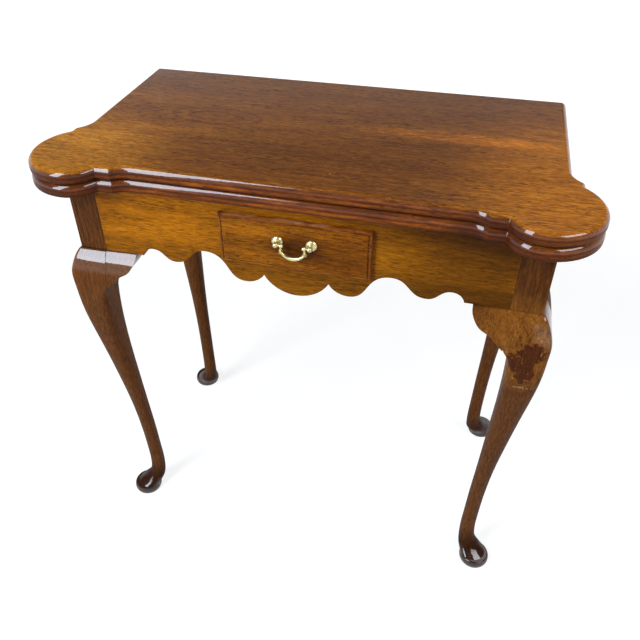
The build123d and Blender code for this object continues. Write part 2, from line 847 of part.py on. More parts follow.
with BuildPart() as drawer_front:
    block(
        (-drawer_front_width / 2, lip_y, drawer_foot_z),
        (drawer_front_width / 2, apron_y, drawer_top_z),
    )
    fillet(drawer_front.faces().sort_by(Axis.Y)[0].edges(), lip_round)
    block(
        (bead_width - drawer_front_width / 2, lip_y - overrun, drawer_foot_z + bead_width),
        (drawer_front_width / 2 - bead_width, lip_y + quirk_depth, drawer_top_z - bead_width),
        mode=Mode.SUBTRACT,
    )
    fillet(drawer_front.faces().sort_by(Axis.Y)[0].inner_wires()[0].edges(), bead_round)
    block(
        (field_margin - drawer_front_width / 2, field_y, drawer_foot_z + field_margin),
        (drawer_front_width / 2 - field_margin, lip_y + quirk_depth + overrun, drawer_top_z - field_margin),
    )
    fillet(drawer_front.faces().sort_by(Axis.Y)[0].edges(), field_round)
    block((-box_half, lip_y + overrun, box_foot_z), (box_half, drawer_inner_y, box_top_z))
    for side in (-1, 1):
        dovetails(side, joint_clearance, Mode.SUBTRACT)
        rod(
            (pull_offset + side * pull_spacing / 2, field_y - overrun, pull_z),
            (0, 1, 0),
            post_shank_radius + pull_hole_clearance,
            drawer_inner_y - field_y + 2 * overrun,
            mode=Mode.SUBTRACT,
        )
    block(*bottom_box, grow=joint_clearance, mode=Mode.SUBTRACT)
finish(drawer_front.part, "drawer_front")

for side, name in ((-1, "drawer_left_side"), (1, "drawer_right_side")):
    with BuildPart() as drawer_wall:
        block(
            (side * (box_half - drawer_side), drawer_inner_y, box_foot_z),
            (side * box_half, drawer_rear_y, box_top_z),
        )
        dovetails(side, 0, Mode.ADD)
        block(*bottom_box, grow=joint_clearance, mode=Mode.SUBTRACT)
        block(*back_box, grow=joint_clearance, mode=Mode.SUBTRACT)
    finish(drawer_wall.part, name)

with BuildPart() as drawer_back_piece:
    block(*back_box)
finish(drawer_back_piece.part, "drawer_back")

with BuildPart() as drawer_bottom_piece:
    block(*bottom_box)
finish(drawer_bottom_piece.part, "drawer_bottom")

# Brass bail pull: domed rosettes, posts with ball heads, nuts inside the drawer, hanging bail


def turning_plane(x):
    """The plane in which the turned pull pieces are drawn, radius across and forward up."""
    return Plane(origin=(x, field_y, pull_z), x_dir=(1, 0, 0), z_dir=(0, 0, -1))


def pull_x(side):
    """Where a pull post stands."""
    return pull_offset + side * pull_spacing / 2


with BuildPart() as pull_rosettes:
    for side in (-1, 1):
        hole_radius = post_shank_radius + pull_hole_clearance
        crown = (rosette_radius + rosette_boss_radius) / 2
        with BuildSketch(turning_plane(pull_x(side))) as half:
            with BuildLine():
                Line((hole_radius, 0), (rosette_radius, 0))
                Line((rosette_radius, 0), (rosette_radius, rosette_rim))
                ThreePointArc(
                    (rosette_radius, rosette_rim),
                    (crown, rosette_rim + rosette_crown_share * (rosette_thickness - rosette_rim)),
                    (rosette_boss_radius, rosette_thickness),
                )
                Line((rosette_boss_radius, rosette_thickness), (hole_radius, rosette_thickness))
                Line((hole_radius, rosette_thickness), (hole_radius, 0))
            make_face()
        revolve(half.sketch, axis=Axis((pull_x(side), field_y, pull_z), (0, -1, 0)))
finish(pull_rosettes.part, "pull_rosettes")

for side, name in ((-1, "left_pull_post"), (1, "right_pull_post")):
    x = pull_x(side)
    collar_top = rosette_thickness + post_collar_thickness
    head_foot = post_head_out - sqrt(post_head_radius**2 - post_neck_radius**2)
    with BuildPart() as pull_post:
        with BuildSketch(turning_plane(x)) as half:
            with BuildLine():
                Polyline(
                    (0, post_head_out + post_head_radius),
                    (0, -post_tail),
                    (post_shank_radius, -post_tail),
                    (post_shank_radius, rosette_thickness),
                    (post_collar_radius, rosette_thickness),
                    (post_collar_radius, collar_top),
                    (post_neck_radius, collar_top),
                    (post_neck_radius, head_foot),
                )
                ThreePointArc(
                    (post_neck_radius, head_foot),
                    (post_head_radius, post_head_out),
                    (0, post_head_out + post_head_radius),
                )
            make_face()
        revolve(half.sketch, axis=Axis((x, field_y, pull_z), (0, -1, 0)))
        rod(
            (x - side * (post_head_radius + overrun), pull_axis_y, pull_z),
            (side, 0, 0),
            bail_pin_radius + bail_pin_clearance,
            bail_pin_depth + overrun,
            mode=Mode.SUBTRACT,
        )
    finish(pull_post.part, name)

with BuildPart() as pull_nuts:
    for side in (-1, 1):
        nut_plane = Plane(origin=(pull_x(side), drawer_inner_y, pull_z), z_dir=(0, 1, 0))
        with BuildSketch(nut_plane) as nut:
            RegularPolygon(pull_nut_radius, pull_nut_sides)
            Circle(post_shank_radius + pull_hole_clearance, mode=Mode.SUBTRACT)
        extrude(nut.sketch, amount=pull_nut_thickness)
finish(pull_nuts.part, "pull_nuts")

with BuildPart() as bail:
    half_points = [(-a * pull_spacing / 2, -d * bail_drop) for a, d in bail_shares]
    bail_points = [*half_points, (0, -bail_drop), *[(-a, d) for a, d in reversed(half_points)]]
    bail_plane = Plane(origin=(pull_offset, pull_axis_y, pull_z), x_dir=(1, 0, 0), z_dir=(0, -1, 0))
    with BuildLine(bail_plane) as path:
        Spline(*bail_points)
    curve = path.line
    sections = []
    for k in range(bail_section_count + 1):
        share = k / bail_section_count
        swell = sin(pi * share) ** bail_grip_power
        with BuildSketch(Plane(origin=curve @ share, x_dir=(0, 1, 0), z_dir=curve % share)) as section:
            Circle(bail_wire_radius + (bail_grip_radius - bail_wire_radius) * swell)
        sections.append(section.sketch)
    loft(sections)
    collar = (bail_collar_share, bail_collar_radius, bail_collar_thickness)
    bead = (bail_bead_share, bail_bead_radius, bail_bead_thickness)
    for near, radius, thickness in (collar, bead):
        for share in (near, 1 - near):
            direction = curve % share
            rod((curve @ share) - direction * thickness / 2, direction, radius, thickness)
    for side in (-1, 1):
        eye_x = pull_offset + side * bail_shares[0][0] * pull_spacing / 2
        with Locations((eye_x, pull_axis_y, pull_z)):
            Sphere(bail_eye_radius)
        pin_end_x = pull_x(side) - side * (post_head_radius - bail_pin_depth + bail_pin_end_gap)
        rod((eye_x, pull_axis_y, pull_z), (side, 0, 0), bail_pin_radius, abs(pin_end_x - eye_x))
finish(bail.part, "bail")
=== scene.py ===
"""Looks of the folding game table: old mahogany varnish, pale brass, a white studio.

The CAD meshes are shown as they are. Places and sizes are in millimetres unless a line says metres,
noise scales are repeats per metre, and colours are 0 to 255 display values passed through rgb().
"""

from math import cos, pi, sin

import bpy
from mathutils import Matrix, Vector

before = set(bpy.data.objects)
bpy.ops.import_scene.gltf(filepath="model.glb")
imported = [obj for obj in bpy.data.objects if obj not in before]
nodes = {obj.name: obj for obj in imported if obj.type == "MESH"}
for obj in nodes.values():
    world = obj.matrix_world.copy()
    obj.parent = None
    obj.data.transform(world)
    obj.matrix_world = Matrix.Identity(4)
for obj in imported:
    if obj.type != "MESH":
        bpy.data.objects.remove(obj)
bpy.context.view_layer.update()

MM = 0.001
Y, Z = 1, 2


def extent(object_name, axis, pick):
    """Where a CAD node starts (min) or ends (max) on an axis, to a tenth of a millimetre."""
    return round(pick(corner[axis] for corner in nodes[object_name].bound_box) / MM, 1)


# levels of the table that the finishes follow
TOP = extent("upper_leaf", Z, max)
SEAM = extent("lower_leaf", Z, max)
KNEE_TOP = extent("front_left_knee_block", Z, max)
DRAWER_FACE = extent("drawer_front", Y, min)


# Shader graphs


class Graph:
    """A material's node tree with short calls for the nodes that the finishes use."""

    def __init__(self, name):
        self.material = bpy.data.materials.new(name)
        self.material.use_nodes = True
        self.tree = self.material.node_tree
        self.tree.nodes.clear()
        self.output = self.add("ShaderNodeOutputMaterial")
        self.place = self.add("ShaderNodeTexCoord").outputs["Object"]

    def add(self, kind, **settings):
        node = self.tree.nodes.new(kind)
        for key, value in settings.items():
            setattr(node, key, value)
        return node

    def put(self, socket, value):
        """Links a socket or sets its constant."""
        if isinstance(value, bpy.types.NodeSocket):
            self.tree.links.new(value, socket)
        elif value is not None:
            socket.default_value = value

    def math(self, operation, first, second=None, third=None):
        node = self.add("ShaderNodeMath", operation=operation)
        for socket, value in zip(node.inputs, (first, second, third)):
            self.put(socket, value)
        return node.outputs[0]

    def vector(self, operation, first, second=None):
        node = self.add("ShaderNodeVectorMath", operation=operation)
        self.put(node.inputs[0], first)
        self.put(node.inputs[1], second)
        return node.outputs["Value" if operation == "LENGTH" else "Vector"]

    def split(self, vector):
        node = self.add("ShaderNodeSeparateXYZ")
        self.put(node.inputs[0], vector)
        return node.outputs

    def join(self, x, y, z):
        node = self.add("ShaderNodeCombineXYZ")
        for socket, value in zip(node.inputs, (x, y, z)):
            self.put(socket, value)
        return node.outputs[0]

    def noise(self, place, scale, detail, roughness, colour=False):
        node = self.add("ShaderNodeTexNoise")
        self.put(node.inputs["Vector"], place)
        self.put(node.inputs["Scale"], scale)
        self.put(node.inputs["Detail"], detail)
        self.put(node.inputs["Roughness"], roughness)
        return node.outputs["Color" if colour else "Fac"]

    def streaks(self, place, scales, detail, roughness, colour=False):
        """Noise drawn out along the axes whose scale is small."""
        return self.noise(self.vector("MULTIPLY", place, scales), 1.0, detail, roughness, colour)

    def fit(self, value, low, high, first=0.0, last=1.0):
        """Maps a value smoothly from one range to another, held at both ends."""
        node = self.add("ShaderNodeMapRange")
        node.interpolation_type = "SMOOTHSTEP"
        node.clamp = True
        for socket, item in zip(node.inputs, (value, low, high, first, last)):
            self.put(socket, item)
        return node.outputs[0]

    def span(self, length, low, high, first=0.0, last=1.0):
        """fit() for a coordinate whose range is written in millimetres."""
        return self.fit(length, low * MM, high * MM, first, last)

    def band(self, length, middle, near, far):
        """1 where a coordinate is within near of the middle, falling to 0 at far."""
        away = self.math("ABSOLUTE", self.math("SUBTRACT", length, middle * MM))
        return self.span(away, near, far, 1.0, 0.0)

    def both(self, first, second):
        return self.math("MULTIPLY", first, second)

    def either(self, first, second):
        return self.math("MAXIMUM", first, second)

    def mix(self, share, first, second, blend="MIX"):
        node = self.add("ShaderNodeMix", data_type="RGBA", blend_type=blend)
        self.put(node.inputs["Factor"], share)
        colours = [s for s in node.inputs if s.type == "RGBA"]
        for socket, value in zip(colours, (first, second)):
            self.put(socket, value if isinstance(value, bpy.types.NodeSocket) else (*value, 1.0))
        return [s for s in node.outputs if s.type == "RGBA"][0]

    def lift(self, colour, mask, strength, factor):
        """Multiplies the colour by a factor for each channel inside a mask."""
        lifted = self.mix(1.0, colour, factor, "MULTIPLY")
        return self.mix(self.both(mask, strength), colour, lifted)

    def cover(self, colour, mask, strength, tone):
        """Lays a tone over the colour inside a mask."""
        return self.mix(self.both(mask, strength), colour, tone)

    def stops(self, value, *stops):
        """A colour ramp through (place, colour) stops."""
        node = self.add("ShaderNodeValToRGB")
        ramp = node.color_ramp
        ramp.elements[0].position, ramp.elements[1].position = stops[0][0], stops[-1][0]
        ramp.elements[0].color = (*stops[0][1], 1.0)
        ramp.elements[1].color = (*stops[-1][1], 1.0)
        for position, colour in stops[1:-1]:
            ramp.elements.new(position).color = (*colour, 1.0)
        self.put(node.inputs[0], value)
        return node.outputs[0]

    def distance(self, centre, radii):
        """Distance from a centre, counted in the radii of an ellipsoid."""
        offset = self.vector("SUBTRACT", self.place, Vector(centre) * MM)
        return self.vector("LENGTH", self.vector("DIVIDE", offset, Vector(radii) * MM))

    def spot(self, centre, radii, soft=0.5, ragged=0.0, ragged_scale=60.0):
        """1 inside an ellipsoid, falling to 0 outside it, with a ragged rim."""
        away = self.distance(centre, radii)
        if ragged:
            rim = self.noise(self.place, ragged_scale, 4.0, 0.65)
            rim = self.both(self.math("SUBTRACT", rim, 0.5), ragged * 2)
            away = self.math("ADD", away, rim)
        return self.fit(away, 1 - soft, 1 + soft, 1.0, 0.0)

    def ridge(self, turn, start, peak):
        """Rises from start to peak in each turn, and falls back to 0 by its end."""
        return self.both(self.fit(turn, start, peak), self.fit(turn, peak, 1.0, 1.0, 0.0))

    def flame(self, centre, radii, wander_scale, wander, rings, line, rim):
        """The dark lines of nested wandering ovals, as flat-sawn wood shows them.

        line is where the dark line starts in each oval, and the figure fades out over the rim.
        """
        away = self.distance(centre, radii)
        away = self.math("MULTIPLY_ADD", self.noise(self.place, wander_scale, 3.0, 0.6), wander, away)
        turn = self.math("FRACT", self.both(away, rings))
        return self.both(self.ridge(turn, line, 0.9), self.fit(away, *rim))

    def shade(self, colour, **sockets):
        """Ends the tree in a principled shader."""
        node = self.add("ShaderNodeBsdfPrincipled")
        self.put(node.inputs["Base Color"], colour)
        for name, value in sockets.items():
            self.put(node.inputs[name.replace("_", " ")], value)
        self.tree.links.new(node.outputs[0], self.output.inputs[0])

    def bump(self, height, distance, strength):
        """A normal from a height; the distance is in metres."""
        node = self.add("ShaderNodeBump")
        self.put(node.inputs["Height"], height)
        self.put(node.inputs["Distance"], distance)
        self.put(node.inputs["Strength"], strength)
        return node.outputs[0]


def rgb(red, green, blue):
    """A colour written as 0 to 255 display values, as the linear numbers that shaders use."""
    return tuple(
        c / 255 / 12.92 if c / 255 <= 0.04045 else ((c / 255 + 0.055) / 1.055) ** 2.4
        for c in (red, green, blue)
    )


def paint(object_name, material):
    """Gives a CAD node one finish in every slot."""
    target = nodes[object_name]
    if not target.material_slots:
        target.data.materials.append(material)
    for slot in target.material_slots:
        slot.material = material


# Wood

# object axes that run along, across and through a board, by its grain
GRAIN_ORDER = {"x": (0, 1, 2), "y": (1, 2, 0), "z": (2, 0, 1)}

# each board is cut from another place of the noise: steps in metres for each seed
BOARD_STEP = Vector((0.731, 0.417, 0.593))

# scales along, across and through the grain
WAVER = (1.6, 7.0, 7.0)
SWAY = (2.5, 18.0, 18.0)
RIBBON = (2.6, 30.0, 30.0)
CLOUD = (3.2, 7.0, 7.0)
CROWD = (6.0, 60.0, 60.0)
FIBRE = (40.0, 480.0, 480.0)
DASH = (80.0, 620.0, 620.0)
FLECK = (110.0, 900.0, 900.0)
HAIR = (160.0, 1500.0, 1500.0)

# how far each kind of figure moves the tone, and how far the fibres and the rings wander
RIBBON_SWING, CLOUD_SWING, FIBRE_SWING, FLECK_SWING = 1.1, 0.9, 1.1, 0.6
WAVER_REACH = 12.0
SWAY_REACH = 10.0

# where the dark late wood of a ring starts and is darkest, as shares of the ring
LATE_WOOD = (0.25, 0.93)

# noise levels over which dashes, hairs and crowds of pores set in
DASH_RISE = (0.55, 0.63)
HAIR_RISE = (0.52, 0.66)
CROWD_RISE = (0.3, 0.65)
LEAST_CROWD = 0.45
HAIR_DEPTH = 0.8
PORE_DARKNESS = 0.3
PORE_ROUGHNESS = 0.15

# relief of the wood and of the varnish over it
FIBRE_HEIGHT = 0.25
WOOD_RELIEF = 0.2
FILM_RELIEF = 0.4
WOOD_THROUGH_FILM = 0.05

# dark, middle and light colours
TOP_TONES = (rgb(64, 31, 5), rgb(115, 63, 12), rgb(160, 99, 24))
RAIL_TONES = (rgb(84, 46, 2), rgb(147, 86, 5), rgb(182, 113, 11))
LEG_TONES = (rgb(54, 27, 7), rgb(89, 49, 15), rgb(120, 70, 26))
FRONT_TONES = (rgb(74, 36, 2), rgb(130, 74, 5), rgb(166, 102, 13))
PALE_TONES = (rgb(150, 112, 66), rgb(188, 150, 98), rgb(212, 178, 126))
BACK_TONES = (rgb(74, 44, 24), rgb(110, 70, 38), rgb(138, 94, 54))
RAW_EDGE = rgb(186, 128, 70)
# painted shade in the groove between the leaves
SEAM_SHADE = rgb(24, 10, 6)


def wood(
    name,
    grain,
    tones,
    seed,
    pith=(0.0, -60.0),
    tilt=(0.03, 0.02),
    ring=9.0,
    ring_depth=0.10,
    pore_depth=0.6,
    figure=0.4,
    gloss=0.85,
    rough=0.42,
    coat_rough=0.06,
    shine=0.12,
    peel=1.0,
    marks=None,
):
    """Varnished or bare wood: rings about a tilted pith, ribbon streaks, fibres and pores.

    tones are its dark, middle and light colours; gloss is the weight of its varnish and peel the
    unevenness of it; marks adds local tints, wear, painted light and shade, and polish.
    """
    g = Graph(name)
    axes = g.split(g.place)
    along, across, through = (axes[k] for k in GRAIN_ORDER[grain])
    board = g.vector("ADD", g.join(along, across, through), seed * BOARD_STEP)

    # slow waver of the fibres, across the grain only
    waver = g.streaks(board, WAVER, 2.0, 0.5, colour=True)
    waver = g.vector("SUBTRACT", waver, (0.5, 0.5, 0.5))
    waver = g.vector("MULTIPLY", waver, (0.0, WAVER_REACH * MM, WAVER_REACH * MM))
    bent = g.vector("ADD", board, waver)

    # growth rings, with the dark late wood at the end of each
    ring_across = g.math("ADD", across, g.math("MULTIPLY_ADD", along, tilt[0], -pith[0] * MM))
    ring_through = g.math("ADD", through, g.math("MULTIPLY_ADD", along, tilt[1], -pith[1] * MM))
    radius = g.vector("LENGTH", g.vector("ADD", g.join(0.0, ring_across, ring_through), waver))
    radius = g.math("MULTIPLY_ADD", g.streaks(board, SWAY, 3.0, 0.55), SWAY_REACH * MM, radius)
    turn = g.math("FRACT", g.math("DIVIDE", radius, ring * MM))
    late = g.ridge(turn, *LATE_WOOD)

    # open pores: short dark dashes and hairs along the grain, in crowds
    dash = g.fit(g.streaks(bent, DASH, 1.0, 0.5), *DASH_RISE)
    hair = g.fit(g.streaks(bent, HAIR, 1.0, 0.5), *HAIR_RISE)
    crowd = g.fit(g.streaks(bent, CROWD, 2.0, 0.5), *CROWD_RISE, LEAST_CROWD, 1.0)
    pore = g.both(g.either(dash, g.both(hair, HAIR_DEPTH)), crowd)

    # ribbons, clouds, fibres and flecks move the tone about its middle
    fibre = g.streaks(bent, FIBRE, 3.0, 0.68)
    tone = 0.5
    for field, swing in (
        (g.streaks(bent, RIBBON, 3.0, 0.55), RIBBON_SWING * figure),
        (g.streaks(board, CLOUD, 3.0, 0.55), CLOUD_SWING * figure),
        (fibre, FIBRE_SWING),
        (g.streaks(bent, FLECK, 1.0, 0.5), FLECK_SWING),
    ):
        tone = g.math("MULTIPLY_ADD", g.math("SUBTRACT", field, 0.5), swing, tone)
    tone = g.math("MULTIPLY_ADD", late, -ring_depth, tone)
    colour = g.stops(tone, (0.05, tones[0]), (0.5, tones[1]), (0.95, tones[2]))
    roughness = g.math("MULTIPLY_ADD", pore, PORE_ROUGHNESS, rough)
    polish = gloss
    if marks:
        colour, roughness, polish = marks(g, colour, roughness, gloss)
    colour = g.cover(colour, pore, pore_depth, [PORE_DARKNESS * c for c in tones[0]])

    # the wood shows its pores, the varnish over it is almost level
    height = g.math("MULTIPLY_ADD", fibre, FIBRE_HEIGHT, g.both(pore, -1.0))
    film = g.math("MULTIPLY_ADD", height, WOOD_THROUGH_FILM, g.noise(board, 70.0, 3.0, 0.55))
    g.shade(
        colour,
        Roughness=roughness,
        Normal=g.bump(height, WOOD_RELIEF * MM, 0.5),
        Specular_IOR_Level=shine,
        Coat_Weight=polish,
        Coat_Roughness=coat_rough,
        Coat_IOR=1.5,
        Coat_Normal=g.bump(film, FILM_RELIEF * MM * peel, 0.3),
    )
    return g.material


# Leaves of the top

# broad tones of the flat top: centre, radii, strength and factor
FLAT_TONES = (
    ((-365.0, -150.0, 728.0), (150.0, 110.0, 60.0), 0.78, (2.6, 3.2, 2.2)),
    ((-250.0, 0.0, 728.0), (170.0, 140.0, 60.0), 0.3, (1.45, 1.45, 1.3)),
    ((345.0, -80.0, 728.0), (120.0, 190.0, 60.0), 0.9, (2.2, 2.3, 1.3)),
    ((-125.0, -80.0, 728.0), (110.0, 50.0, 60.0), 0.45, (0.55, 0.55, 0.5)),
    ((110.0, -50.0, 728.0), (170.0, 80.0, 60.0), 0.45, (0.62, 0.58, 0.4)),
    ((0.0, 165.0, 728.0), (330.0, 60.0, 60.0), 0.35, (0.66, 0.66, 0.8)),
    ((190.0, 24.0, 728.0), (120.0, 17.0, 60.0), 0.65, (2.3, 2.2, 1.4)),
    ((140.0, 75.0, 728.0), (110.0, 22.0, 60.0), 0.35, (0.7, 0.62, 0.6)),
)
# small knocks: centre and radii
TOP_KNOCKS = tuple(
    ((x, y, TOP), (1.6, 1.2, 1.5))
    for x, y in ((-34.2, -93.0), (82.7, -31.1), (113.3, -92.6), (40.0, -120.0), (60.0, -70.0))
)
LOWER_KNOCKS = (
    ((-14.0, -152.0, 700.5), (8.0, 9.0, 2.2)),
    ((31.0, -148.0, 716.5), (13.0, 12.0, 2.0)),
    ((98.0, -152.0, 701.0), (4.0, 9.0, 2.0)),
    ((160.0, -156.0, 700.5), (3.0, 9.0, 2.0)),
)

# depths below the top face of a leaf: where its flat face, its rolled rim, the worn arris, the
# crown of its side, the varnish of the round, the painted shade under the round, the foot with
# its painted shade and the belt lie
FACE_SKIN = (0.02, 0.005)
ROLLED_RIM = (1.0, 0.4)
ARRIS = 1.2
UPPER_CROWN = (0.8, 6.0)
LOWER_CROWN = (0.1, 1.9)
VARNISHED_ROUND = (8.5, 6.5)
SHADE_UNDER_ROUND = 9.8
FOOT = (11.5, 18.3)
BELT = 15.0

# upward part of the normal over which the moulding gives way to the flat
UPRIGHT = (0.965, 0.995)


def leaf_marks(upper):
    """Golden front corners, a darker middle, a pale streak, red-brown moulded edges with painted shade, and
    nicks.
    """
    top = TOP if upper else SEAM

    def below(depths):
        return (top - depth for depth in depths)

    def edge(g, colour, z, upright):
        """The moulded side of the leaf, with painted shade under its round, at its foot, in the seam, on the
        left lobe and in the right hollow.
        """
        side = g.both(g.span(z, *below(UPPER_CROWN if upper else LOWER_CROWN)), upright)
        streaks = g.streaks(g.place, (22.0, 22.0, 150.0), 4.0, 0.6)
        tone = g.stops(streaks, (0.3, rgb(66, 23, 1)), (0.5, rgb(92, 39, 3)), (0.7, rgb(126, 60, 8)))
        colour = g.cover(colour, side, 0.88, tone)
        belt = g.spot((-60.0, -160.0, top - BELT), (230.0, 60.0, 4.5), 0.5, 0.2, 30.0)
        colour = g.lift(colour, belt, 0.6, (2.1, 2.4, 2.2))
        # painted shade: a dark band just under the round, where the side turns away from the light
        colour = g.lift(colour, g.band(z, top - SHADE_UNDER_ROUND, 0.0, 2.8), 0.6, (0.4, 0.33, 0.33))
        # painted shade: the lower, downward-facing part of the moulding is darkened
        foot = g.both(g.span(z, *below(FOOT)), upright)
        colour = g.lift(colour, foot, 0.85, (0.30, 0.22, 0.20))
        # painted shade: the left lobe's side and the hollow before the right lobe are darkened
        left_lobe = g.spot((-345.0, -170.0, 722.0), (150.0, 110.0, 60.0), 0.6)
        right_hollow_shade = g.spot((256.0, -165.0, 722.0), (42.0, 60.0, 60.0), 0.5)
        lobe_and_hollow_shade = g.both(g.either(left_lobe, right_hollow_shade), side)
        colour = g.lift(colour, lobe_and_hollow_shade, 0.75, (0.42, 0.28, 0.24))
        # painted shade: the groove between the two leaves is painted near black
        seam_shade = g.both(g.band(z, SEAM, 0.5, 1.9), upright)
        return g.cover(colour, seam_shade, 0.9, SEAM_SHADE)

    def varnish(g, gloss, y, z, upright):
        """Full gloss on the flats and the round of the edge, little below it and on the rolled rim."""
        polish = g.span(z, *below(VARNISHED_ROUND), 0.12, gloss)
        polish = g.either(polish, g.fit(upright, 0.0, 1.0, gloss, 0.0))
        if upper:
            rolled = g.both(g.span(z, *below(ROLLED_RIM)), g.span(z, *below(reversed(FACE_SKIN))))
            polish = g.both(polish, g.math("MULTIPLY_ADD", rolled, -0.9, 1.0))
            front = g.both(g.span(y, 100.0, -100.0), g.span(z, *below(FACE_SKIN)))
            polish = g.both(polish, g.math("MULTIPLY_ADD", front, -0.4, 1.0))
        return polish

    def marks(g, colour, roughness, gloss):
        y, z = g.split(g.place)[1:]
        for centre, radii, strength, factor in FLAT_TONES:
            colour = g.lift(colour, g.spot(centre, radii, 0.6, 0.14, 11.0), strength, factor)
        if upper:
            flame = g.flame((-165.0, 18.0, 728.0), (105.0, 42.0, 1000.0), 26.0, 0.35, 3.4, 0.55, (1.25, 0.9))
            colour = g.lift(colour, flame, 0.7, (0.5, 0.45, 0.45))

        slope = g.math("ABSOLUTE", g.split(g.add("ShaderNodeTexCoord").outputs["Normal"])[2])
        upright = g.fit(slope, *UPRIGHT, 1.0, 0.0)
        colour = edge(g, colour, z, upright)
        polish = varnish(g, gloss, y, z, upright)

        # rubbed arrises and small knocks that show raw wood
        rubbed = g.fit(g.noise(g.place, 420.0, 3.0, 0.62), 0.60, 0.68)
        where = g.fit(g.noise(g.place, 34.0, 2.0, 0.5), 0.52, 0.62)
        knock = g.both(g.both(rubbed, where), g.band(z, top - ARRIS, 0.0, 1.6))
        crumbs = g.fit(g.noise(g.place, 520.0, 2.0, 0.5), 0.44, 0.54)
        for centre, radii in TOP_KNOCKS if upper else LOWER_KNOCKS:
            knock = g.either(knock, g.both(g.spot(centre, radii, 0.35, 0.5, 420.0), crumbs))
        colour = g.cover(colour, knock, 0.75, RAW_EDGE)
        roughness = g.math("MULTIPLY_ADD", knock, 0.25, roughness)
        return colour, roughness, polish

    return marks


LEAF_LOOK = dict(
    pith=(20.0, 620.0),
    tilt=(0.03, 0.06),
    ring_depth=0.07,
    gloss=0.9,
    shine=0.05,
    coat_rough=0.05,
)
paint("upper_leaf", wood("upper_leaf_mahogany", "x", TOP_TONES, 3, marks=leaf_marks(True), **LEAF_LOOK))
paint("lower_leaf", wood("lower_leaf_mahogany", "x", TOP_TONES, 5, marks=leaf_marks(False), **LEAF_LOOK))


# Front rail and drawer front


def apron_marks(g, colour, roughness, gloss):
    """A golden left half and a darker olive right end, partly wood tone and partly painted light falling off
    from the left; painted shade under the top and the left lobe, and a painted shadow round the drawer.
    """
    x, _, z = g.split(g.place)
    # partly painted light: the left half is lightened and the right end darkened as the light falls off from
    # the left, partly the wood's own tone
    colour = g.lift(colour, g.span(x, 20.0, -240.0), 0.4, (1.5, 1.45, 1.3))
    colour = g.lift(colour, g.span(x, 20.0, 240.0), 0.9, (0.38, 0.36, 0.33))
    shade = g.both(g.span(z, 640.0, 690.0), g.span(x, -20.0, 270.0))
    colour = g.lift(colour, shade, 0.9, (0.30, 0.24, 0.22))
    scallop_tips = g.span(z, 622.0, 602.0)
    colour = g.lift(colour, scallop_tips, 0.7, (0.50, 0.50, 0.5))
    # painted shade under the left lobe of the leaves
    under_lobe_shade = g.spot((-285.0, -150.0, 700.0), (34.0, 30.0, 34.0), 0.6)
    colour = g.lift(colour, under_lobe_shade, 0.6, (0.55, 0.42, 0.4))
    low_left = g.spot((-150.0, -150.0, 612.0), (60.0, 30.0, 26.0), 0.6, 0.1, 20.0)
    colour = g.lift(colour, low_left, 0.12, (0.6, 0.6, 0.6))
    # painted shadow of the drawer's lip on the rail round it
    drawer_rim_shadow = g.spot((0.0, -158.0, 644.0), (112.0, 30.0, 46.0), 0.08)
    colour = g.lift(colour, drawer_rim_shadow, 0.15, (0.6, 0.5, 0.5))
    return colour, roughness, gloss


# tones of the drawer's face: centre, radii, strength and factor
FACE_TONES = (
    ((-62.0, -156.0, 656.0), (46.0, 30.0, 7.0), 0.6, (1.6, 1.55, 1.5)),
    ((-40.0, -156.0, 618.0), (60.0, 30.0, 12.0), 0.5, (1.5, 1.5, 1.4)),
    ((-50.0, -156.0, 677.0), (70.0, 30.0, 7.0), 0.6, (0.62, 0.52, 0.5)),
    ((62.0, -156.0, 624.0), (40.0, 30.0, 11.0), 0.5, (0.6, 0.55, 0.5)),
)
# depths behind the drawer's face over which its moulding gives way to the face
FACE_DEPTHS = (1.9, 0.4)


